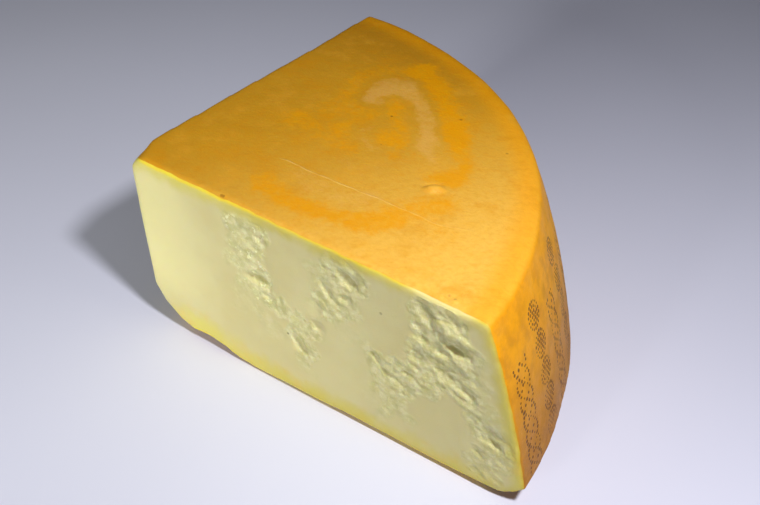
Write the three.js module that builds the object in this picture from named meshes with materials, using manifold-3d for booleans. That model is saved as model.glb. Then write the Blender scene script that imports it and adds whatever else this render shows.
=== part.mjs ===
// A quarter wedge of a low wheel of hard cheese, in millimetres, +Z up, standing on its own underside.
// The wheel is a turned profile. Two upright knife cuts, about a quarter turn apart, free the wedge. Its
// fragile point is blunt, and both ends of the point have lost their corner. The origin is the centre
// of the footprint.
import * as THREE from "three";
import { mergeVertices } from "three/addons/utils/BufferGeometryUtils.js";
import Module from "manifold-3d";

// Wheel: radii are from the wheel's axis, heights from the board it stands on.
const WHEEL_RADIUS = 227; // widest, low on the sagging rim
const WIDEST_HEIGHT = 15; // height of the widest ring
const RIM_HEIGHT = 106; // height of the rim's upper edge
const RIM_LEAN = 26; // the upper edge stands this far inside the widest ring
const RIM_BULGE = 2.1; // the rim's swell out of a straight line between those two
const TOP_CROWN = 6.5; // the upper face rises this much from its edge to the axis
const TOP_EDGE_ROUND = 4.5; // how far the soft upper edge reaches along the face and down the rim
const FOOT_INSET = 29; // the flat ring that the wheel stands on ends this far inside the widest ring
const FOOT_ROUND = 18; // how far the lower edge's round reaches beyond that flat before it climbs
const HOLLOW_RADIUS = 99; // inside this radius the underside rises gently
const HOLLOW_HEIGHT = 13; // to this height at the axis

// Cuts. Distances along a cut face are from the wheel's axis.
const WEDGE_ANGLE = 88; // degrees between the two cut faces
const POINT_FLAT_FRONT = 2.5; // the blunt point leaves the front cut face here
const POINT_FLAT_BACK = 4; // and the back cut face here
const TOP_CORNER_FRONT = 9.5; // the lost upper corner reaches this far along the front cut face
const TOP_CORNER_BACK = 19.5; // along the back cut face
const TOP_CORNER_DEPTH = 10; // and this far down the axis
const FOOT_CORNER_FRONT = 21; // the lost lower corner, in the same way
const FOOT_CORNER_BACK = 24;
const FOOT_CORNER_DEPTH = 20;

// Mesh fineness.
const TURN_STEPS = 120; // facets in a whole turn of the wheel
const CURVE_STEPS = 8; // facets in each curve of the profile

const TOP_RADIUS = WHEEL_RADIUS - RIM_LEAN;
const FOOT_RADIUS = WHEEL_RADIUS - FOOT_INSET;

const wasm = await Module();
wasm.setup();

// A closed three.js geometry as a manifold-3d solid.
function solidFrom(geometry) {
  const bare = geometry.clone();
  bare.deleteAttribute("normal");
  bare.deleteAttribute("uv");
  const merged = mergeVertices(bare, 1e-4);
  return new wasm.Manifold(
    new wasm.Mesh({
      numProp: 3,
      vertProperties: merged.attributes.position.array,
      triVerts: new Uint32Array(merged.index.array),
    }),
  );
}

// A manifold-3d solid as a flat-shaded three.js geometry.
function geometryFrom(solid) {
  const { vertProperties, triVerts } = solid.getMesh();
  const shared = new THREE.BufferGeometry();
  shared.setAttribute("position", new THREE.BufferAttribute(vertProperties, 3));
  shared.setIndex(new THREE.BufferAttribute(triVerts, 1));
  const geometry = shared.toNonIndexed();
  geometry.computeVertexNormals();
  return geometry;
}

// Height of the upper face, a very flat cone, at a radius.
function crownHeight(radius) {
  return RIM_HEIGHT + TOP_CROWN * (1 - radius / TOP_RADIUS);
}

// The wheel's outline from the axis under the wheel, out round the rim, and back to the axis on top.
function wheelProfile() {
  const outline = new THREE.Path();
  outline.moveTo(0, HOLLOW_HEIGHT);
  outline.quadraticCurveTo(HOLLOW_RADIUS / 2, 0, HOLLOW_RADIUS, 0);
  outline.lineTo(FOOT_RADIUS, 0);
  outline.quadraticCurveTo(FOOT_RADIUS + FOOT_ROUND, 0, WHEEL_RADIUS, WIDEST_HEIGHT);

  const widest = new THREE.Vector2(WHEEL_RADIUS, WIDEST_HEIGHT);
  const topEdge = new THREE.Vector2(TOP_RADIUS, RIM_HEIGHT);
  const alongRim = topEdge.clone().sub(widest).normalize();
  const outward = new THREE.Vector2(alongRim.y, -alongRim.x);
  const swell = widest.clone().lerp(topEdge, 0.5).addScaledVector(outward, 2 * RIM_BULGE);
  const roundStart = topEdge.clone().addScaledVector(alongRim, -TOP_EDGE_ROUND);
  outline.quadraticCurveTo(swell.x, swell.y, roundStart.x, roundStart.y);

  const roundEnd = TOP_RADIUS - TOP_EDGE_ROUND;
  outline.quadraticCurveTo(topEdge.x, topEdge.y, roundEnd, crownHeight(roundEnd));
  outline.lineTo(0, crownHeight(0));
  return outline.getPoints(CURVE_STEPS);
}

function wheelSolid() {
  const turned = new THREE.LatheGeometry(wheelProfile(), TURN_STEPS);
  turned.rotateX(Math.PI / 2);
  return solidFrom(turned);
}

// A point in plan on the back cut face, at a distance from the axis.
function alongBackCut(distance) {
  const angle = THREE.MathUtils.degToRad(WEDGE_ANGLE);
  return new THREE.Vector2(distance * Math.cos(angle), distance * Math.sin(angle));
}

// Everything between the two cut faces, blunt at the point: an upright prism wider and taller than the wheel.
function keptPrism() {
  const reach = 2 * WHEEL_RADIUS;
  const footprint = new THREE.Shape([
    new THREE.Vector2(POINT_FLAT_FRONT, 0),
    new THREE.Vector2(reach, 0),
    new THREE.Vector2(reach, reach),
    alongBackCut(reach),
    alongBackCut(POINT_FLAT_BACK),
  ]);
  const height = 2 * (RIM_HEIGHT + TOP_CROWN);
  const prism = new THREE.ExtrudeGeometry(footprint, { depth: height, bevelEnabled: false });
  prism.translate(0, 0, -height / 4);
  return solidFrom(prism);
}

// A block that takes away one corner of the point. Its face passes through a point on each cut face at
// the face's height `level`, and meets the axis `depth` above that level (below it when negative).
function cornerBlock(front, back, level, depth) {
  const backPoint = alongBackCut(back);
  const face = new THREE.Plane().setFromCoplanarPoints(
    new THREE.Vector3(front, 0, level),
    new THREE.Vector3(backPoint.x, backPoint.y, level),
    new THREE.Vector3(0, 0, level + depth),
  );
  const keptPoint = new THREE.Vector3(WHEEL_RADIUS, WHEEL_RADIUS, RIM_HEIGHT / 2);
  if (face.distanceToPoint(keptPoint) > 0) face.negate();
  const size = WHEEL_RADIUS;
  const block = new THREE.BoxGeometry(size, size, size);
  block.translate(0, 0, size / 2);
  block.applyQuaternion(new THREE.Quaternion().setFromUnitVectors(new THREE.Vector3(0, 0, 1), face.normal));
  block.translate(0, 0, level + depth);
  return solidFrom(block);
}

function wedgeGeometry() {
  const topLevel = crownHeight(0);
  const wedge = wheelSolid()
    .intersect(keptPrism())
    .subtract(cornerBlock(TOP_CORNER_FRONT, TOP_CORNER_BACK, topLevel, -TOP_CORNER_DEPTH))
    .subtract(cornerBlock(FOOT_CORNER_FRONT, FOOT_CORNER_BACK, HOLLOW_HEIGHT, FOOT_CORNER_DEPTH));
  return geometryFrom(wedge);
}

// The rind is the dried outside of the same paste, so the wedge is one piece.
function cheeseWedge() {
  const rind = new THREE.MeshStandardMaterial({ color: 0xe8a63c, roughness: 0.5, metalness: 0 });
  const mesh = new THREE.Mesh(wedgeGeometry(), rind);
  mesh.name = "cheese_wedge";
  mesh.geometry.computeBoundingBox();
  const middle = mesh.geometry.boundingBox.getCenter(new THREE.Vector3());
  mesh.position.set(-middle.x, -middle.y, 0);
  return mesh;
}

const part = new THREE.Group();
part.add(cheeseWedge());

export default part;
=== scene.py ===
import math

import bmesh
import bpy
import numpy as np
from mathutils import Matrix, Vector, noise


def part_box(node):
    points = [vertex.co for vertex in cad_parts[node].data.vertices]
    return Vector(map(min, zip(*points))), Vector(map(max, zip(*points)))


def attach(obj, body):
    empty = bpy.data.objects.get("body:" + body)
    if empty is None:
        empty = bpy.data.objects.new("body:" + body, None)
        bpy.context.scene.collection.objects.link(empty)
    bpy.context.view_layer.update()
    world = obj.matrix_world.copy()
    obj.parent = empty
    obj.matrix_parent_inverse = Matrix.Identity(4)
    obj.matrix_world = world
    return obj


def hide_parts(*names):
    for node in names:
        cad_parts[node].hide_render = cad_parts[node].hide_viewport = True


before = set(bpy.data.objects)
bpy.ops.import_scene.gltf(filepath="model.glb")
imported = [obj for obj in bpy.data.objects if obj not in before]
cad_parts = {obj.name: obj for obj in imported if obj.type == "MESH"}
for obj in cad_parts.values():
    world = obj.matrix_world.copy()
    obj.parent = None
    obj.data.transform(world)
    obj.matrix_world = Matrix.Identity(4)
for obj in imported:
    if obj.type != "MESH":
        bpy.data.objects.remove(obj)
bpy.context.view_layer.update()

# The looks of one wedge of hard cheese. All sizes below are in millimetres, in the wheel's own frame: its
# axis is the origin, X runs along the front cut face, Z is up, and Z = 0 is the board.
MM = 0.001
WHEEL_RADIUS = 227.0
RIM_HEIGHT = 106.0
TOP_RADIUS = 201.0
TOP_CROWN = 6.5
HOLLOW_RADIUS = 99.0
HOLLOW_HEIGHT = 13.0
WEDGE_ANGLE = math.radians(88)
FOOT_CORNER_REACH = 21.0  # the point's lost lower corner reaches this far along the front cut face
FOOT_CORNER_DEPTH = 20.0  # and this far up the axis, from the hollow underside
FOOT_CORNER_TOP = HOLLOW_HEIGHT + FOOT_CORNER_DEPTH
FOOT_CORNER_SLOPE = FOOT_CORNER_DEPTH / FOOT_CORNER_REACH

low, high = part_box("cheese_wedge")
AXIS = np.array((high.x - WHEEL_RADIUS * MM, low.y, low.z))

BACK_CUT_INWARD = np.array((math.sin(WEDGE_ANGLE), -math.cos(WEDGE_ANGLE), 0))

MESH_STEP = 1.5  # spacing of the sculpted mesh, halved where the paste is torn
REFINE_FROM = 0.3  # the mesh is halved where an area is torn at least this much

GRAIN_TILT = math.radians(-24)  # direction of the torn flakes on a cut face
GRAIN_STRETCH = 1.7  # and how much longer than wide they are
TORN_DEPTH = 0.46  # how far a torn area lies behind the knife's plane
TORN_RELIEF = 0.78  # and how high its lumps and flakes stand
PIT_SHARE = 0.42  # how much of their listed depth the pits get
FRONT_SEED = 0.0
BACK_SEED = 31.0

# Each pair is where a share starts and where it is whole, counted inwards from a face.
CUT_FADE = (6.0, 0.8)
TOP_FADE = (3.0, 0.6)
RIM_FADE = (4.0, 0.8)


# ------------------------------------------------------------------ numbers
def ramp(value, start, end):
    """0 before start, 1 after end, smooth between. Start may be the larger one."""
    t = np.clip((value - start) / (end - start), 0, 1)
    return t * t * (3 - 2 * t)


def fractal(points, size, octaves, seed):
    """Smooth noise of about -1 to 1 with features of that size."""
    return np.array([noise.fractal(p, 1.0, 2.0, octaves) for p in (points / size + seed).tolist()])


def scatter(cells, salt):
    """A number from 0 to 1 for each cell centre that looks random: the fraction of a large sine."""
    mixed = cells @ np.array((12.9898, 78.233, 37.719)) + salt
    return np.abs(np.sin(mixed) * 43758.5453) % 1


def broken(points, size, seed):
    """The height of a broken surface, -1 to 1: each cell is a small facet with its own level and tilt."""
    scaled = points / size + seed
    found = [noise.voronoi(p)[1][0] for p in scaled.tolist()]
    centres = np.array([tuple(c) for c in found])
    offset = scaled - centres
    level = scatter(centres, 1.0) - 0.5
    tilt = (scatter(centres, 2.0) - 0.5) * offset[:, 0] + (scatter(centres, 3.0) - 0.5) * offset[:, 2]
    return level + 1.6 * tilt


def spots(x, z, places):
    """The strongest of several round soft spots (x, z, radius, strength) at each point."""
    most = np.zeros_like(x)
    for px, pz, radius, strength in places:
        d = np.hypot(x - px, z - pz) / radius
        most = np.maximum(most, strength * ramp(d, 1.35, 0.55))
    return most


def ovals(x, z, places):
    """The sum of several soft ovals (x, z, half length, half width, tilt in degrees, depth)."""
    total = np.zeros_like(x)
    for px, pz, long, short, tilt, depth in places:
        a = math.radians(tilt)
        along = (x - px) * math.cos(a) + (z - pz) * math.sin(a)
        across = (z - pz) * math.cos(a) - (x - px) * math.sin(a)
        total += depth * ramp(np.hypot(along / long, across / short), 1.35, 0.35)
    return total


def stroke(x, y, path, width):
    """A soft brush stroke along a given path: 1 on the path, 0 from a quarter beyond its width."""
    nearest = np.full_like(x, 1e9)
    for (ax, ay), (bx, by) in zip(path, path[1:]):
        length = math.hypot(bx - ax, by - ay)
        t = np.clip(((x - ax) * (bx - ax) + (y - ay) * (by - ay)) / length**2, 0, 1)
        away = np.hypot(x - ax - t * (bx - ax), y - ay - t * (by - ay))
        nearest = np.minimum(nearest, away)
    return ramp(nearest, 1.25 * width, 0.3 * width)


# ------------------------------------------------------------------ the faces
# Torn areas of the front cut face: x, z, radius, strength.
FRONT_TORN = [
    (66, 98, 8, 0.6), (78, 97, 9, 0.75), (64, 86, 6, 0.5), (74, 84, 10, 0.7), (66, 74, 6, 0.5),
    (79, 72, 9, 0.75), (68, 62, 7, 0.45), (81, 60, 8, 0.75), (66, 50, 5, 0.25), (91, 57, 7, 0.8),
    (101, 55, 7, 0.8), (107, 50, 7, 0.9), (101, 42, 8, 1.0), (107, 36, 7, 0.9), (103, 28, 6, 0.6),
    (125, 98, 10, 0.9), (135, 94, 8, 1.0), (118, 86, 7, 0.8), (128, 84, 8, 0.9), (116, 76, 7, 0.8),
    (124, 74, 8, 0.7), (133, 76, 7, 0.6), (118, 66, 5, 0.6), (170, 98, 7, 1.0), (182, 96, 9, 1.1),
    (172, 86, 8, 1.1), (184, 86, 10, 1.3), (194, 84, 6, 1.0), (170, 74, 8, 1.1), (182, 74, 9, 1.2),
    (192, 70, 8, 1.1), (172, 62, 9, 1.1), (184, 62, 9, 1.2), (194, 58, 8, 1.0), (176, 53, 7, 0.9),
    (146, 54, 7, 0.7), (156, 52, 9, 0.9), (166, 50, 8, 0.9), (150, 44, 7, 0.8), (160, 42, 8, 0.8),
    (148, 34, 6, 0.6), (158, 32, 7, 0.6), (164, 24, 6, 0.5), (152, 22, 7, 0.5), (150, 13, 5, 0.4),
    (198, 46, 6, 0.9), (204, 40, 8, 1.0), (212, 34, 8, 1.0), (208, 26, 8, 0.9), (216, 24, 5, 0.8),
    (206, 14, 8, 0.8), (213, 11, 5, 0.6), (200, 20, 5, 0.7), (201, 66, 8, 0.35), (204, 54, 8, 0.4),
    (200, 80, 7, 0.3), (212, 44, 7, 0.35), (140, 60, 5, 0.4), (130, 62, 9, 0.25), (144, 24, 8, 0.25),
    (86, 40, 9, 0.3), (112, 92, 6, 0.4), (60, 74, 6, 0.35), (64, 53, 7, 0.3), (64, 44, 7, 0.25),
    (74, 50, 7, 0.35), (80, 43, 7, 0.35), (103, 22, 6, 0.3), (110, 19, 5, 0.25), (112, 85, 6, 0.3),
    (110, 70, 5, 0.3),
]
# Deeper holes of the front cut face, and standing lumps with a depth below 0: x, z, half length, half
# width, tilt, depth.
FRONT_PITS = [
    (77, 68, 7, 3.2, 0, 3.4), (81, 94, 4, 2.6, -30, 1.6), (130, 94, 6, 3.6, -30, 3.2),
    (119, 81, 8, 2.2, -45, 2.4), (129, 82, 4.5, 2, 20, 2.0), (84, 59, 4.5, 2.4, -20, 2.0),
    (113, 56, 4, 3.2, 0, 2.6), (101, 36, 6, 3.4, -50, 3.8), (146, 54, 6, 1.8, -50, 2.2),
    (153, 47, 5, 2, -20, 2.6), (171, 96, 6, 3.6, -60, 2.8), (187, 82, 7, 2.4, -15, 2.6),
    (169, 80, 4.5, 2.2, 0, 2.4), (180, 78, 5, 2.2, -10, 2.6), (168, 68, 5, 3.6, 80, 2.6),
    (183, 64, 8, 3.6, -30, 1.8), (194, 59, 5.5, 3, -40, 2.4), (163, 53, 4, 1.8, 0, 1.6),
    (165, 41, 4, 1.6, 0, 1.6), (209, 35, 5.5, 2.6, -25, 3.2), (202, 24, 4, 1.8, -30, 1.8),
    (184, 91, 10, 4, -18, -2.6), (190, 75, 5, 3, -20, -1.4), (112, 68, 3, 6, 0, 1.2),
]
# The same for the back cut face, with the distance from the axis in place of x.
BACK_TORN = [
    (52, 84, 12, 0.8), (66, 76, 10, 0.9), (60, 60, 9, 0.7), (78, 66, 8, 0.8), (88, 54, 9, 0.9),
    (98, 42, 9, 0.9), (110, 34, 8, 0.8), (122, 26, 7, 0.7), (118, 92, 9, 0.8), (132, 88, 10, 1.0),
    (146, 82, 11, 1.1), (160, 76, 10, 1.1), (158, 60, 10, 1.0), (172, 64, 11, 1.2), (186, 56, 10, 1.1),
    (196, 44, 9, 1.0), (184, 36, 8, 0.8), (206, 30, 7, 0.8), (180, 92, 7, 0.8), (34, 40, 7, 0.5),
    (44, 30, 8, 0.6), (58, 22, 7, 0.5), (140, 16, 7, 0.5),
]
BACK_PITS = [
    (58, 80, 8, 3.4, 25, 3.2), (84, 58, 7, 3, 35, 3.0), (104, 38, 6, 3, 40, 2.6),
    (140, 86, 8, 3.4, 15, 3.2), (164, 70, 9, 3.4, 20, 3.6), (186, 52, 7, 3.6, 35, 3.2),
    (150, 72, 8, 3.6, 10, -2.4), (176, 80, 5, 2.4, 0, 2.2), (200, 38, 5, 2.6, 50, 2.4),
    (48, 34, 5, 2, 20, 1.8),
]
# Where the upper face has its oval lump and its flaked spot: x, y, radius, strength.
TOP_MARKED = [(137, 63, 10, 1), (181, 3, 7, 1)]


def crown(radius):
    """Height of the upper face at a distance from the wheel's axis."""
    return RIM_HEIGHT + TOP_CROWN * (1 - radius / TOP_RADIUS)


def underside(radius):
    """Height of the hollow underside at a distance from the wheel's axis."""
    return HOLLOW_HEIGHT * np.clip(1 - radius / HOLLOW_RADIUS, 0, 1) ** 2


def rim_radius(z):
    """The heel's radius at a height, read from the CAD solid itself."""
    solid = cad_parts["cheese_wedge"].data
    corners = np.array([tuple(v.co) for v in solid.vertices])
    place = (corners - AXIS) / MM
    radius = np.hypot(place[:, 0], place[:, 1])
    outer = radius > TOP_RADIUS - 4  # the rim and its soft upper edge
    heights = np.round(place[outer, 2], 1)
    levels = np.unique(heights)
    widest = [radius[outer][heights == level].max() for level in levels]
    return np.interp(z, levels, widest)


def crumbled(x, z, seed):
    """The height of torn paste, about -1 to 1: flakes and creases that run down towards the heel."""
    flat = np.stack((x, np.full_like(x, seed), z), 1)
    warp_x = 2.6 * fractal(flat, 8, 2, 5.1)
    warp_z = 2.0 * fractal(flat, 8, 2, 8.7)
    along = (x + warp_x) * math.cos(GRAIN_TILT) + (z + warp_z) * math.sin(GRAIN_TILT)
    across = (z + warp_z) * math.cos(GRAIN_TILT) - (x + warp_x) * math.sin(GRAIN_TILT)
    grain = np.stack((along / GRAIN_STRETCH, flat[:, 1], across), 1)
    lump = fractal(grain, 12, 2, seed + 5)
    crease = 1 - 2.6 * np.abs(fractal(grain, 5.2, 3, seed))
    flake = 1.3 * broken(grain, 3.8, seed)
    crumb = fractal(grain, 1.9, 2, seed + 9)
    return 0.42 * lump + 0.36 * crease + 0.38 * flake + 0.3 * crumb


def cut_depth(x, z, torn_places, pit_places, seed):
    """How far a cut face lies behind the knife's plane, and how torn it is, at each point of the face."""
    flat = np.stack((x, np.full_like(x, seed), z), 1)
    wander_x = 2.5 * fractal(flat, 9, 3, 1.1)
    wander_z = 2.5 * fractal(flat, 9, 3, 3.7)
    torn = spots(x + wander_x, z + wander_z, torn_places)
    pits = ovals(x + 0.5 * wander_x, z + 0.5 * wander_z, pit_places)
    knife = 0.6 * fractal(flat, 60, 2, seed + 2) + 0.06 * fractal(flat, 7, 2, seed + 3)
    depth = knife + torn * (TORN_DEPTH - TORN_RELIEF * crumbled(x, z, seed)) + PIT_SHARE * pits
    return depth, torn


def read_mesh(mesh):
    """The mesh's vertices in the wheel's frame, and its edges."""
    co = np.empty(len(mesh.vertices) * 3)
    mesh.vertices.foreach_get("co", co)
    edges = np.empty(len(mesh.edges) * 2, int)
    mesh.edges.foreach_get("vertices", edges)
    return (co.reshape(-1, 3) - AXIS) / MM, edges.reshape(-1, 2)


def write_mesh(mesh, place):
    mesh.vertices.foreach_set("co", (place * MM + AXIS).ravel())
    mesh.update()


def neighbours_mean(values, edges, rounds, share):
    """Values smoothed over the mesh: each vertex moves that share of the way to its neighbours' mean."""
    count = np.bincount(edges.ravel(), minlength=len(values))[:, None]
    for _ in range(rounds):
        total = np.zeros_like(values)
        np.add.at(total, edges[:, 0], values[edges[:, 1]])
        np.add.at(total, edges[:, 1], values[edges[:, 0]])
        values = values + share * (total / count - values)
    return values


def dense_copy(node, name):
    """The CAD solid as a mesh of small even faces."""
    piece = bpy.data.objects.new(name, node.data.copy())
    bpy.context.scene.collection.objects.link(piece)
    remesh = piece.modifiers.new("remesh", "REMESH")
    remesh.mode = "VOXEL"
    remesh.voxel_size = MESH_STEP * MM
    graph = bpy.context.evaluated_depsgraph_get()
    even = bpy.data.meshes.new_from_object(piece.evaluated_get(graph))
    piece.modifiers.clear()
    piece.data = even
    place, edges = read_mesh(even)
    write_mesh(even, neighbours_mean(place, edges, rounds=3, share=0.5))
    return piece


def along_back_cut(place):
    return place[:, 0] * math.cos(WEDGE_ANGLE) + place[:, 1] * math.sin(WEDGE_ANGLE)


def behind_back_cut(place):
    return place @ BACK_CUT_INWARD


def refine_torn(mesh):
    """Halves the mesh spacing on the torn parts of the cut faces and round the marks of the upper face."""
    place, _ = read_mesh(mesh)
    x, y, z = place.T
    front = (y < 1) * spots(x, z, FRONT_TORN)
    back = (behind_back_cut(place) < 1) * spots(along_back_cut(place), z, BACK_TORN)
    top = (z > RIM_HEIGHT - 3) * spots(x, y, TOP_MARKED)
    chosen = np.maximum(np.maximum(front, back), top) > REFINE_FROM
    work = bmesh.new()
    work.from_mesh(mesh)
    work.verts.ensure_lookup_table()
    edges = [e for e in work.edges if chosen[e.verts[0].index] and chosen[e.verts[1].index]]
    bmesh.ops.subdivide_edges(work, edges=edges, cuts=1, use_grid_fill=True)
    work.to_mesh(mesh)
    work.free()


# How much the real lower edge of the front cut face stands above the CAD outline, by distance from the axis.
FOOT_LIFT_AT = (0, 5, 8, 17, 21, 27, 36, 43, 49, 53, 59, 66, 76, 90)
FOOT_LIFT = (-3.0, -4.5, -8.5, -8.0, -5.5, -1.5, 1.2, 1.5, 1.0, 0.0, -1.0, -1.0, -0.5, 0.0)
# Height of the set-back rind under the front cut face, by distance from the axis.
UNDERCUT_AT = (60, 80, 130, 213, 225)
UNDERCUT = (-1.0, 0.2, 1.8, 3.2, 2.0)
# Where the upper front edge is rubbed down to the paste, and by how much.
WORN_AT = (154, 164, 172, 185, 193, 199)
WORN = (0.0, 0.6, 1.4, 1.4, 0.6, 0.0)
# Dents of the upper face, and standing lumps with a depth below 0: x, y, half length, half width, tilt,
# depth.
TOP_DENTS = [
    (136.2, 64.4, 4.8, 3.0, 37, -1.9), (134.4, 67.0, 5.0, 1.6, 38, 0.5), (59.5, 0.8, 2.4, 1.0, 0, 0.8),
    (178.5, 4.4, 2.4, 0.9, -10, 0.8), (182.5, 3.4, 1.8, 0.9, 30, -0.8), (180.4, 5.8, 2.4, 0.8, 20, 0.7),
]


class Surface:
    """How each vertex of the plain solid lies to every face: shares of 0 to 1, and gaps in millimetres."""

    def __init__(self, place):
        self.place = place
        self.x, self.y, self.z = place.T
        self.radius = np.hypot(self.x, self.y)
        self.behind_back = behind_back_cut(place)
        self.along_back = along_back_cut(place)
        self.below_top = crown(self.radius) - self.z
        self.inside_rim = rim_radius(self.z) - self.radius
        self.above_foot = self.z - underside(self.radius)

        self.front_share = ramp(self.y, *CUT_FADE)
        self.back_share = ramp(self.behind_back, *CUT_FADE)
        self.top_share = ramp(self.below_top, *TOP_FADE)
        self.rim_share = ramp(self.inside_rim, *RIM_FADE)

        self.undercut = np.interp(self.x, UNDERCUT_AT, UNDERCUT) * ramp(self.y, 14.0, 3.0)
        self.worn = np.interp(self.x, WORN_AT, WORN) * ramp(self.y, 8.0, 2.0)
        self.cut_gap = np.minimum(self.y, self.behind_back)
        outer_gap = np.minimum(self.below_top + self.worn, self.inside_rim)
        foot_gap = self.above_foot - np.maximum(self.undercut, 0)
        chipped = 0.5 * fractal(place, 6, 2, 12.0)
        self.rind_gap = np.minimum(outer_gap, foot_gap) + chipped


# Each of the next three functions adds its part to moved, the way that each vertex goes. s is the Surface.
def tear_cuts(s, moved):
    """Cut faces: the tearing fades out where the rind holds the paste together."""
    keep = 0.12 + 0.88 * ramp(s.rind_gap, 0.5, 5.0)
    front_depth, front_torn = cut_depth(s.x, s.z, FRONT_TORN, FRONT_PITS, FRONT_SEED)
    back_depth, back_torn = cut_depth(s.along_back, s.z, BACK_TORN, BACK_PITS, BACK_SEED)
    moved[:, 1] += s.front_share * front_depth * keep
    moved += (s.back_share * back_depth * keep)[:, None] * BACK_CUT_INWARD
    torn = np.maximum(front_torn * s.front_share, back_torn * s.back_share)
    depth = np.maximum(s.front_share * front_depth, s.back_share * back_depth) * keep
    return torn, depth


def shape_foot(s, moved):
    """Lower edge of the front cut face: its real outline, and the rind set back under it."""
    lift = np.interp(s.x, FOOT_LIFT_AT, FOOT_LIFT)
    lost_corner = FOOT_CORNER_TOP - FOOT_CORNER_SLOPE * s.x
    above_edge = s.z - np.maximum(underside(s.x), lost_corner)
    moved[:, 2] += lift * ramp(above_edge, 22, 4) * ramp(s.y, 34, 8)
    set_back = 3.2 * ramp(s.x, 60, 90) * ramp(s.above_foot, s.undercut + 1.2, s.undercut - 0.4)
    moved[:, 1] += s.front_share * set_back
    moved[:, 0] -= 1.3 * ramp(s.radius, 12, 4) * ramp(s.z, 8, 24)


def shape_rind(s, moved):
    """Rind: broad unevenness, the rubbed front edge, and the small marks of the upper face."""
    broad = 0.6 * fractal(s.place, 55, 2, 3.0) + 0.12 * fractal(s.place, 9, 2, 6.0)
    dents = ovals(s.x, s.y, TOP_DENTS)
    moved[:, 2] += s.top_share * (broad - dents - s.worn * ramp(s.y, 6.0, 0.5))
    outward = s.place * np.array((1, 1, 0)) / np.maximum(s.radius, 1)[:, None]
    moved += (s.rim_share * (broad + np.clip(s.inside_rim, -0.5, 0.5)))[:, None] * outward


def sculpt(mesh):
    """Moves the mesh from the plain solid to the real surface, and keeps what the material needs to know."""
    place, edges = read_mesh(mesh)
    s = Surface(place)
    moved = np.zeros_like(place)
    torn, depth = tear_cuts(s, moved)
    shape_foot(s, moved)
    shape_rind(s, moved)
    write_mesh(mesh, neighbours_mean(place + moved, edges, rounds=1, share=0.3))
    fields = {
        "rind_side": s.cut_gap - s.rind_gap,
        "rind_gap": s.rind_gap,
        "band_gap": np.minimum(s.rind_gap, 0.55 * s.above_foot),
        "torn": torn,
        "depth": depth,
        "heel": s.rim_share * (1 - s.top_share),
        "shoulder": ramp(s.inside_rim, 15, 2) * ramp(s.below_top, 18, 2),
        "stain": s.top_share * swirls(s.x, s.y),
        "rubbed": ramp(s.worn, 0.2, 1.0) * ramp(s.below_top, 8.0, 4.0),
    }
    for name, values in fields.items():
        layer = mesh.attributes.new(name, "FLOAT", "POINT")
        layer.data.foreach_set("value", values.astype(np.float32))
    mesh.shade_smooth()


# Swirled stains on the upper face, each drawn as a path, a width and a strength.
DARK_SWIRLS = [
    ([(68, 20), (79, 18), (91, 18), (103, 19), (116, 21), (128, 25), (132, 33), (133, 39)], 8.5, 0.9),
    ([(133, 39), (139, 47), (144, 55)], 10.0, 0.7),
    ([(72, 156), (86, 146), (102, 133), (114, 119), (124, 104), (132, 90), (137, 77)], 11.0, 1.05),
    ([(58, 93), (56, 110), (52, 132), (60, 145), (71, 149)], 11.0, 0.5),
    ([(114, 84), (121, 80), (131, 76)], 6.0, 0.7),
    ([(79, 119), (89, 110), (98, 99), (101, 89), (92, 86)], 9.0, 0.75),
    ([(48, 74), (60, 75), (69, 77), (72, 90), (69, 106)], 12.0, 0.55),
    ([(73, 70), (84, 67), (92, 68)], 8.0, 0.5),
    ([(58, 118), (59, 140)], 15.0, 0.35),
    ([(99, 71), (104, 78)], 6.0, 0.5),
    ([(148, 40), (156, 39)], 7.0, 0.4),
]
PALE_SWIRLS = [
    ([(68, 117), (67, 130), (71, 137), (80, 135), (91, 125), (102, 111), (113, 96), (124, 85)], 12.0, 0.95),
    ([(66, 114), (67, 130)], 6.0, 0.5),
    ([(79, 86), (85, 85), (95, 72)], 8.0, 0.5),
    ([(78, 38), (93, 32), (107, 33), (116, 41)], 10.0, 0.4),
    ([(89, 60), (102, 61)], 12.0, 0.2),
]


def swirls(x, y):
    """The stains: above 0 where they are darker than the rind, below 0 where they are paler."""
    flat = np.stack((x, y, np.zeros_like(x)), 1)
    sway_x = 3.0 * fractal(flat, 14, 3, 1.7)
    sway_y = 3.0 * fractal(flat, 14, 3, 9.3)
    total = np.zeros_like(x)
    for path, width, strength in DARK_SWIRLS:
        total = np.maximum(total, strength * stroke(x + sway_x, y + sway_y, path, width))
    for path, width, strength in PALE_SWIRLS:
        total = total - strength * stroke(x + sway_x, y + sway_y, path, width)
    return total * (1 + 0.25 * fractal(flat, 16, 2, 4.4))


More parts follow.
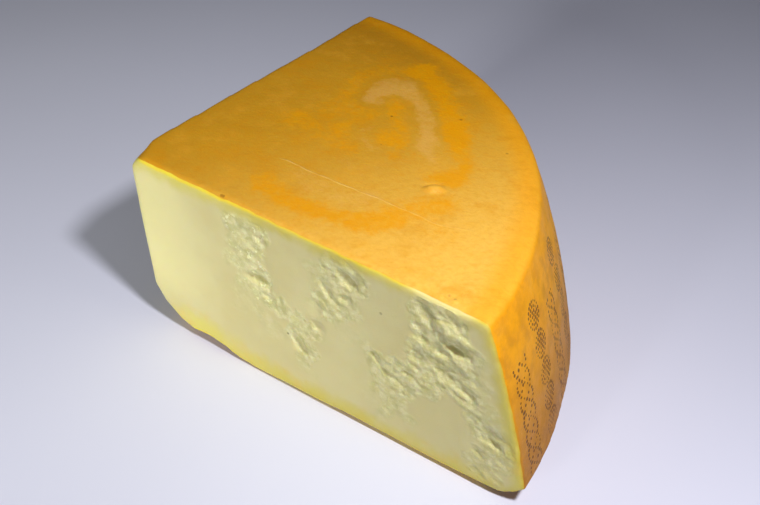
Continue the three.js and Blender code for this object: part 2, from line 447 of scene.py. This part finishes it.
# ------------------------------------------------------------------ materials
class Nodes:
    """One node material. Each method adds a node and gives back its output."""

    def __init__(self, name):
        self.material = bpy.data.materials.new(name)
        self.material.use_nodes = True
        self.tree = self.material.node_tree
        self.shader = self.tree.nodes["Principled BSDF"]

    def add(self, kind, inputs=(), **settings):
        node = self.tree.nodes.new(kind)
        for key, value in settings.items():
            setattr(node, key, value)
        for key, value in dict(inputs).items():
            self.set(node.inputs[key], value)
        return node

    def set(self, socket, value):
        if isinstance(value, bpy.types.NodeSocket):
            self.tree.links.new(value, socket)
        elif isinstance(value, (tuple, list)) and len(socket.default_value) == 4:
            socket.default_value = (*value, 1.0)[:4]
        else:
            socket.default_value = value

    def math(self, operation, a, b=0.0, c=0.0):
        return self.add("ShaderNodeMath", {0: a, 1: b, 2: c}, operation=operation).outputs[0]

    def ramp(self, value, start, end, low=0.0, high=1.0):
        """low before start, high after end, smooth between."""
        inputs = {"Value": value, "From Min": start, "From Max": end, "To Min": low, "To Max": high}
        return self.add("ShaderNodeMapRange", inputs, interpolation_type="SMOOTHSTEP").outputs["Result"]

    def mix(self, share, a, b):
        """Colour a where share is 0 and b where it is 1."""
        node = self.add("ShaderNodeMix", data_type="RGBA")
        self.set(node.inputs[0], share)
        self.set(node.inputs[6], a)
        self.set(node.inputs[7], b)
        return node.outputs[2]

    def noise(self, scale, detail=3.0, roughness=0.5, place=None):
        inputs = {"Vector": place or self.place, "Scale": scale, "Detail": detail, "Roughness": roughness}
        return self.add("ShaderNodeTexNoise", inputs).outputs["Fac"]

    def wheel_frame(self):
        """The place in the wheel's frame in millimetres: the vector, then x, y and z."""
        inputs = {0: self.place, 1: tuple(AXIS)}
        moved = self.add("ShaderNodeVectorMath", inputs, operation="SUBTRACT").outputs[0]
        scaled = self.add("ShaderNodeVectorMath", {0: moved, "Scale": 1 / MM}, operation="SCALE").outputs[0]
        parts = self.add("ShaderNodeSeparateXYZ", {0: scaled}).outputs
        return scaled, parts[0], parts[1], parts[2]

    def field(self, name):
        """A value that the sculpting left on the mesh."""
        return self.add("ShaderNodeAttribute", attribute_name=name).outputs["Fac"]

    def bump(self, height, distance, strength, normal=None):
        """A bump of that many metres, laid over the one that gave the normal."""
        inputs = {"Height": height, "Distance": distance, "Strength": strength}
        if normal is not None:
            inputs["Normal"] = normal
        return self.add("ShaderNodeBump", inputs).outputs["Normal"]


def srgb(red, green, blue):
    """A colour of 0 to 255 screen values as linear light."""
    def linear(v):
        v = v / 255
        return v / 12.92 if v <= 0.04045 else ((v + 0.055) / 1.055) ** 2.4
    return linear(red), linear(green), linear(blue)


# The paste.
CREAM = srgb(220, 209, 148)
CREAM_PALE = srgb(226, 217, 158)
CREAM_LOW = srgb(200, 188, 134)
# painted light: the colour of the paste at the point
CREAM_TIP_PAINTED_LIGHT = srgb(242, 234, 166)
TORN = srgb(222, 215, 150)
TORN_PALE = srgb(236, 230, 174)
TORN_SHADED = srgb(196, 192, 124)
# painted shade: the colour of torn paste that lies deep
TORN_DEEP_PAINTED_SHADE = srgb(196, 182, 98)
# painted highlight: the colour of wet glints on the torn paste
PAINTED_GLINT = srgb(255, 252, 196)
BAND = srgb(214, 200, 96)
BAND_TIP = srgb(224, 213, 112)
SMEAR = srgb(238, 186, 72)
LINE = srgb(236, 206, 60)
LINE_HEEL = srgb(206, 178, 62)
LINE_TIP = srgb(236, 217, 70)
LINE_RUBBED = srgb(240, 228, 160)

# The rind.
# painted light and shade: the rind's colour at the rear, at the front and at the far side
RIND_PAINTED_SHADED_REAR = srgb(204, 150, 34)
RIND_PAINTED_LIT_FRONT = srgb(240, 190, 84)
RIND_PAINTED_SHADED_FAR = srgb(182, 128, 24)
HEEL_LOW = srgb(164, 108, 36)
HEEL_HIGH = srgb(236, 162, 4)
HEEL_BROWN = srgb(184, 122, 22)
SHOULDER = srgb(242, 164, 4)
MOTTLE_PALE = srgb(230, 168, 50)
MOTTLE_DARK = srgb(214, 144, 14)
GRAIN_DARK = srgb(202, 134, 30)
STREAK = srgb(214, 142, 22)
STAIN_DARK = srgb(230, 156, 0)
STAIN_PALE = srgb(226, 176, 90)
# the scratch's colour, paler partly as a painted highlight on its ridge
SCRATCH_AND_PAINTED_HIGHLIGHT = srgb(246, 214, 128)
DOT = srgb(88, 50, 16)
FLECK = srgb(96, 62, 22)

FLOOR_DARK = srgb(216, 219, 238)
FLOOR_PALE = srgb(220, 223, 242)

# The pricked dots of the heel: columns of braids and columns of rosettes, by turns.
DOT_RADIUS = 0.75
DOT_STEP = 2.15  # from dot to dot up a strand, and from ring to ring
DOTS_AT_RADIUS = 0.97 * WHEEL_RADIUS  # the columns' widths are true at this radius
COLUMN_START = 2.0  # along the heel from the front cut face
COLUMN_PITCH = 24.0
ROSETTE_PITCH = 15.5
ROSETTE_RINGS = 3
ROSETTES_BOTTOM = 15.5
ROSETTES_TOP = 93.0
BRAID_STRANDS = 4
BRAID_SWAY = 6.2  # how far each strand of a braid swings to either side
BRAID_TURN = 0.35  # radians of that swing from one dot to the next
BRAID_SHIFT = 2.1  # radians of that swing from one column to the next
BRAIDS_BOTTOM = 11.0
BRAIDS_TOP = 78.5


def snapped(m, value, step):
    """The nearest multiple of a step, and what is left over."""
    count = m.math("ROUND", m.math("DIVIDE", value, step))
    return count, m.math("SUBTRACT", value, m.math("MULTIPLY", count, step))


def hypotenuse(m, a, b):
    return m.math("SQRT", m.math("ADD", m.math("MULTIPLY", a, a), m.math("MULTIPLY", b, b)))


def either(m, switch, on, off):
    """The value on where switch is 1, and off where it is 0."""
    unswitched = m.math("SUBTRACT", 1.0, switch)
    return m.math("ADD", m.math("MULTIPLY", on, switch), m.math("MULTIPLY", off, unswitched))


def rosette_distance(m, across, z):
    """How far away the nearest dot of a rosette is: a middle dot, with rings of 6, 12 and 18 round it."""
    row = m.math("FLOOR", m.math("DIVIDE", z, ROSETTE_PITCH))
    up = m.math("SUBTRACT", z, m.math("MULTIPLY", m.math("ADD", row, 0.5), ROSETTE_PITCH))
    out = hypotenuse(m, across, up)
    ring, off_ring = snapped(m, out, DOT_STEP)
    angle_step = m.math("DIVIDE", math.pi / 3, m.math("MAXIMUM", ring, 1.0))
    _, off_angle = snapped(m, m.math("ARCTAN2", up, across), angle_step)
    off_spoke = m.math("MULTIPLY", off_angle, out)
    beyond = m.math("GREATER_THAN", ring, ROSETTE_RINGS + 0.5)
    return m.math("ADD", hypotenuse(m, off_ring, off_spoke), beyond)


def braid_distance(m, column, across, z):
    """How far away the nearest dot of a braid is: dotted waves that cross each other as they climb."""
    step, off_step = snapped(m, z, DOT_STEP)
    nearest = COLUMN_PITCH
    for strand in range(BRAID_STRANDS):
        start = strand * 2 * math.pi / BRAID_STRANDS
        turn = m.math("ADD", m.math("MULTIPLY", column, BRAID_SHIFT), start)
        wave = m.math("SINE", m.math("ADD", m.math("MULTIPLY", step, BRAID_TURN), turn))
        off_strand = m.math("SUBTRACT", across, m.math("MULTIPLY", wave, BRAID_SWAY))
        nearest = m.math("MINIMUM", nearest, m.math("ABSOLUTE", off_strand))
    return hypotenuse(m, nearest, off_step)


def heel_dots(m, x, y, z):
    """1 on the pricked dots of the heel, 0 elsewhere."""
    arc = m.math("MULTIPLY", m.math("ARCTAN2", y, x), DOTS_AT_RADIUS)
    arc = m.math("SUBTRACT", arc, COLUMN_START)
    column = m.math("FLOOR", m.math("DIVIDE", arc, COLUMN_PITCH))
    across = m.math("SUBTRACT", arc, m.math("MULTIPLY", m.math("ADD", column, 0.5), COLUMN_PITCH))
    odd = m.math("MODULO", m.math("ABSOLUTE", column), 2.0)

    distance = either(m, odd, rosette_distance(m, across, z), braid_distance(m, column, across, z))
    size = m.ramp(m.noise(150, 2), 0.36, 0.6, 0.65 * DOT_RADIUS, 1.15 * DOT_RADIUS)
    dots = m.ramp(m.math("DIVIDE", distance, size), 1.25, 0.7)
    top = either(m, odd, ROSETTES_TOP, BRAIDS_TOP)
    bottom = either(m, odd, ROSETTES_BOTTOM, BRAIDS_BOTTOM)
    dots = m.math("MULTIPLY", dots, m.ramp(m.math("SUBTRACT", z, top), 0.5, -0.5))
    dots = m.math("MULTIPLY", dots, m.ramp(m.math("SUBTRACT", z, bottom), -0.5, 12.0))
    return m.math("MULTIPLY", dots, m.ramp(m.field("heel"), 0.5, 0.95))


# Dark flecks on the rind and in the paste: x, y, z, radius, darkness.
FLECKS = [
    (58.8, 1.6, 110.4, 0.9, 0.5), (59.8, 1.7, 110.4, 0.9, 0.5), (179, 5.4, 106.8, 0.9, 0.3),
    (182, 5.0, 106.8, 0.8, 0.3), (116, 125, 107, 0.9, 0.45), (85, 106, 108, 0.7, 0.6),
    (95, 81, 108.5, 0.6, 0.35), (150, 112, 106.5, 0.8, 0.35), (148.6, 0, 84.2, 0.8, 0.35),
    (94, 0, 41, 0.7, 0.6),
]


def flecks(m, vector):
    """How dark the flecks make each point, 0 away from them."""
    total = 0.0
    for x, y, z, radius, darkness in FLECKS:
        inputs = {0: vector, 1: (x, y, z)}
        distance = m.add("ShaderNodeVectorMath", inputs, operation="DISTANCE").outputs["Value"]
        total = m.math("MAXIMUM", total, m.ramp(distance, 1.3 * radius, 0.6 * radius, 0.0, darkness))
    return total


# The scratch on the upper face: its distance from the front cut face, how much that grows with each
# millimetre along the face, and the extra distance where it bends away near its end.
SCRATCH_GAP = 40.5
SCRATCH_SLOPE = 0.012
SCRATCH_BEND = 5.0


def scratch(m, x, y, z):
    """1 on the long shallow scratch that crosses the upper face, 0 elsewhere."""
    wobble = m.ramp(m.noise(90, 2), 0.3, 0.7, -0.5, 0.5)
    line = m.math("ADD", m.math("MULTIPLY", x, SCRATCH_SLOPE), SCRATCH_GAP)
    line = m.math("ADD", line, m.ramp(x, 150, 168, 0.0, SCRATCH_BEND))
    away = m.math("ABSOLUTE", m.math("ADD", m.math("SUBTRACT", y, line), wobble))
    mark = m.math("MULTIPLY", m.ramp(away, 0.65, 0.15), m.ramp(x, 60, 68))
    mark = m.math("MULTIPLY", mark, m.ramp(x, 170, 90, 0.3, 1.0))
    broken_up = m.math("MULTIPLY", m.ramp(x, 172, 164), m.ramp(m.noise(140, 2), 0.35, 0.6, 0.45, 1.0))
    mark = m.math("MULTIPLY", mark, broken_up)
    return m.math("MULTIPLY", mark, m.ramp(z, 95, 100))


def cream_colour(m, x, z, torn):
    """The paste inside: cream with painted light towards the point, mottled where it is torn, and painted
    shade where it lies deep.
    """
    flat = m.mix(m.ramp(m.noise(28), 0.35, 0.65), CREAM, CREAM_PALE)
    rough = m.mix(m.ramp(m.noise(330, 3, 0.6), 0.35, 0.65), TORN, TORN_PALE)
    rough = m.mix(m.ramp(m.noise(150), 0.46, 0.64, 0.0, 0.55), rough, TORN_SHADED)
    cream = m.mix(m.ramp(torn, 0.1, 0.6), flat, rough)
    # painted shade: the paste is painted darker where it lies deep behind the knife's plane
    cream = m.mix(m.ramp(m.field("depth"), 0.8, 3.2, 0.0, 0.55), cream, TORN_DEEP_PAINTED_SHADE)
    cream = m.mix(m.ramp(z, 60, 10, 0.0, 0.3), cream, CREAM_LOW)
    # painted light: the cream is painted paler towards the point
    paler = m.math("MULTIPLY", m.ramp(x, 60, 0, 0.0, 0.7), m.ramp(z, 15, 45))
    cream = m.mix(paler, cream, CREAM_TIP_PAINTED_LIGHT)
    # painted highlight: pale glints of wet light on the torn paste near the point
    painted_glints = m.math("MULTIPLY", m.ramp(m.noise(420, 2), 0.6, 0.67, 0.0, 0.8), m.ramp(torn, 0.2, 0.7))
    return m.mix(m.math("MULTIPLY", painted_glints, m.ramp(x, 92, 78)), cream, PAINTED_GLINT)


def paste_colour(m, x, z):
    """Cream, with a yellow line and a fading yellow band under the rind."""
    cream = cream_colour(m, x, z, m.field("torn"))
    tip = m.ramp(x, 100, 25)
    wavy = m.math("ADD", m.field("band_gap"), m.ramp(m.noise(110), 0.3, 0.7, -1.2, 1.2))
    wavy = m.math("SUBTRACT", wavy, m.math("MULTIPLY", tip, 1.2))
    band = m.mix(m.ramp(wavy, 1.0, 10.0), m.mix(tip, BAND, BAND_TIP), cream)
    smear = m.math("MULTIPLY", m.ramp(wavy, 12.0, 3.0), m.ramp(m.noise(75, 4, 0.6), 0.52, 0.68, 0.0, 0.18))
    band = m.mix(m.math("MULTIPLY", smear, m.ramp(z, 60, 30)), band, SMEAR)
    rubbed = m.field("rubbed")
    band = m.mix(m.math("MULTIPLY", rubbed, 0.7), band, cream)
    line = m.mix(m.ramp(x, 192, 203), LINE, LINE_HEEL)
    line = m.mix(tip, line, LINE_TIP)
    line = m.mix(rubbed, line, LINE_RUBBED)
    line_gap = m.math("SUBTRACT", m.field("rind_gap"), tip)
    return m.mix(m.ramp(line_gap, 0.5, 2.4), line, band)


def wiped(m, x, y, z):
    """Soft streaks that run one way across the rind, 0 to 1."""
    way = math.radians(33)
    along = m.math("ADD", m.math("MULTIPLY", x, math.cos(way)), m.math("MULTIPLY", y, math.sin(way)))
    across = m.math("SUBTRACT", m.math("MULTIPLY", y, math.cos(way)), m.math("MULTIPLY", x, math.sin(way)))
    place = m.add("ShaderNodeCombineXYZ", {0: m.math("MULTIPLY", along, 0.4), 1: across, 2: z}).outputs[0]
    return m.noise(0.42, 4, 0.65, place)


def rind_base(m, x, y, z):
    """Waxy orange with painted light and shade: paler towards the lit front, darker towards the rear and far
    side, and browner low on the heel.
    """
    # painted light and shade: the rind is painted paler towards the front and darker towards the rear and
    # the far side
    front = m.math("SUBTRACT", x, m.math("MULTIPLY", y, 0.75))
    base = m.mix(m.ramp(front, -12, 185), RIND_PAINTED_SHADED_REAR, RIND_PAINTED_LIT_FRONT)
    base = m.mix(m.ramp(y, 120, 200), base, RIND_PAINTED_SHADED_FAR)
    low = m.mix(m.ramp(z, 12, 92), HEEL_LOW, HEEL_HIGH)
    low = m.mix(m.ramp(m.noise(130, 4, 0.6), 0.42, 0.66, 0.0, 0.5), low, HEEL_BROWN)
    base = m.mix(m.field("heel"), base, low)
    return m.mix(m.math("MULTIPLY", m.field("shoulder"), 0.6), base, SHOULDER)


def rind_colour(m, base, dots, mark, streaks):
    """The rind with its mottling, streaks, stains, scratch with its painted highlight, and pricked dots."""
    mottle = m.noise(60, 5, 0.6)
    base = m.mix(m.ramp(mottle, 0.5, 0.7, 0.0, 0.4), base, MOTTLE_PALE)
    base = m.mix(m.ramp(mottle, 0.5, 0.3, 0.0, 0.4), base, MOTTLE_DARK)
    base = m.mix(m.ramp(m.noise(420, 3, 0.6), 0.4, 0.75, 0.0, 0.2), base, GRAIN_DARK)
    base = m.mix(m.ramp(streaks, 0.45, 0.7, 0.0, 0.22), base, STREAK)
    stain = m.math("ADD", m.field("stain"), m.ramp(m.noise(260, 4, 0.65), 0.3, 0.7, -0.25, 0.25))
    base = m.mix(m.ramp(stain, 0.0, 1.1, 0.0, 0.8), base, STAIN_DARK)
    base = m.mix(m.ramp(stain, -0.1, -1.1, 0.0, 0.55), base, STAIN_PALE)
    # the scratch's paler colour is partly a painted highlight on its raised ridge
    base = m.mix(m.math("MULTIPLY", mark, 0.4), base, SCRATCH_AND_PAINTED_HIGHLIGHT)
    return m.mix(m.math("MULTIPLY", dots, 0.85), base, DOT)


def cheese_material():
    m = Nodes("cheese")
    m.place = m.add("ShaderNodeTexCoord").outputs["Object"]
    vector, x, y, z = m.wheel_frame()
    rind = m.ramp(m.field("rind_side"), -0.3, 0.3)
    dots = heel_dots(m, x, y, z)
    mark = scratch(m, x, y, z)
    streaks = wiped(m, x, y, z)

    outside = rind_colour(m, rind_base(m, x, y, z), dots, mark, streaks)
    colour = m.mix(rind, paste_colour(m, x, z), outside)
    m.set(m.shader.inputs["Base Color"], m.mix(flecks(m, vector), colour, FLECK))
    m.set(m.shader.inputs["Roughness"], m.ramp(m.noise(70), 0.3, 0.7, 0.42, 0.56))
    m.shader.inputs["Subsurface Weight"].default_value = 0.45
    m.shader.inputs["Subsurface Radius"].default_value = (1.0, 0.65, 0.25)
    m.shader.inputs["Subsurface Scale"].default_value = 0.004
    m.shader.inputs["Specular IOR Level"].default_value = 0.1

    leather = m.bump(m.math("MULTIPLY", streaks, rind), 0.0003, 0.5)
    grain = m.bump(m.noise(700, 4, 0.6), 0.0003, 0.6, leather)
    crumbs = m.math("MULTIPLY", m.noise(900, 4, 0.6), m.ramp(m.field("torn"), 0.1, 0.6))
    crumb = m.bump(crumbs, 0.0006, 0.8, grain)
    pricks = m.bump(m.math("MULTIPLY", dots, -1.0), 0.0004, 0.8, crumb)
    m.set(m.shader.inputs["Normal"], m.bump(mark, 0.0003, 0.6, pricks))
    return m.material


def floor_material():
    m = Nodes("floor")
    m.place = m.add("ShaderNodeTexCoord").outputs["Object"]
    tone = m.mix(m.ramp(m.noise(3, 2), 0.3, 0.7), FLOOR_DARK, FLOOR_PALE)
    m.set(m.shader.inputs["Base Color"], tone)
    m.shader.inputs["Roughness"].default_value = 0.6
    return m.material


# ------------------------------------------------------------------ stage
def wheel_point(x, y, z):
    """A point of the wheel's frame in metres, in the part's frame."""
    return Vector(np.array((x, y, z)) * MM + AXIS)


CAMERA_AZIMUTH = math.radians(33.26)
CAMERA_ELEVATION = math.radians(40.34)
CAMERA_ROLL = math.radians(0.51)
CAMERA_TARGET = wheel_point(138.9, 13.8, 105.1)
CAMERA_DISTANCE = 0.411  # metres
CAMERA_LENS = 44.35
FLOOR_HALF = 4.0  # metres


def make_camera():
    flat = math.cos(CAMERA_ELEVATION)
    back = Vector((
        math.sin(CAMERA_AZIMUTH) * flat,
        -math.cos(CAMERA_AZIMUTH) * flat,
        math.sin(CAMERA_ELEVATION),
    ))
    level = Vector((math.cos(CAMERA_AZIMUTH), math.sin(CAMERA_AZIMUTH), 0))
    right = level * math.cos(CAMERA_ROLL) + back.cross(level) * math.sin(CAMERA_ROLL)
    turned = Matrix((right, back.cross(right), back)).transposed()
    data = bpy.data.cameras.new("camera")
    data.lens = CAMERA_LENS
    data.clip_start = 0.01
    camera = bpy.data.objects.new("camera", data)
    camera.matrix_world = Matrix.Translation(CAMERA_TARGET + back * CAMERA_DISTANCE) @ turned.to_4x4()
    bpy.context.scene.collection.objects.link(camera)
    bpy.context.scene.camera = camera


def make_lamp(name, place, aim, half_angle, radius, power, colour):
    """A soft spot lamp that fades from the middle of its beam to the half angle. Its place and aim are in
    the wheel's frame, its radius is in metres and its power in watts."""
    data = bpy.data.lights.new(name, "SPOT")
    data.energy = power
    data.color = colour
    data.spot_size = 2 * half_angle
    data.spot_blend = 1.0
    data.shadow_soft_size = radius
    lamp = bpy.data.objects.new(name, data)
    lamp.location = wheel_point(*place)
    lamp.rotation_mode = "QUATERNION"
    lamp.rotation_quaternion = (wheel_point(*place) - wheel_point(*aim)).to_track_quat("Z", "Y")
    bpy.context.scene.collection.objects.link(lamp)


def make_floor():
    half = FLOOR_HALF
    corners = [(-half, -half, 0), (half, -half, 0), (half, half, 0), (-half, half, 0)]
    mesh = bpy.data.meshes.new("floor")
    mesh.from_pydata(corners, [], [(0, 1, 2, 3)])
    mesh.materials.append(floor_material())
    floor = bpy.data.objects.new("floor", mesh)
    bpy.context.scene.collection.objects.link(floor)


def make_light():
    """A key lamp above the heel's front corner, a far lamp low in front of the point, and a faint fill."""
    make_lamp(
        "key",
        place=(369, -81, 496),
        aim=(291, 87, 0),
        half_angle=1.5,
        radius=0.03,
        power=11.5,
        colour=(1.0, 0.98, 0.99),
    )
    make_lamp(
        "front",
        place=(-36, -1100, 440),
        aim=(-255, -326, 0),
        half_angle=0.52,
        radius=0.15,
        power=58.0,
        colour=(1.0, 0.99, 0.94),
    )
    world = bpy.data.worlds.new("studio")
    world.use_nodes = True
    background = world.node_tree.nodes["Background"]
    background.inputs["Color"].default_value = (0.88, 0.92, 1.0, 1.0)
    background.inputs["Strength"].default_value = 0.02
    bpy.context.scene.world = world
    bpy.context.scene.view_settings.view_transform = "Standard"


make_camera()
make_floor()
make_light()
cheese = dense_copy(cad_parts["cheese_wedge"], "cheese")
refine_torn(cheese.data)
sculpt(cheese.data)
cheese.data.materials.clear()
cheese.data.materials.append(cheese_material())
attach(cheese, "root")
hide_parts("cheese_wedge")
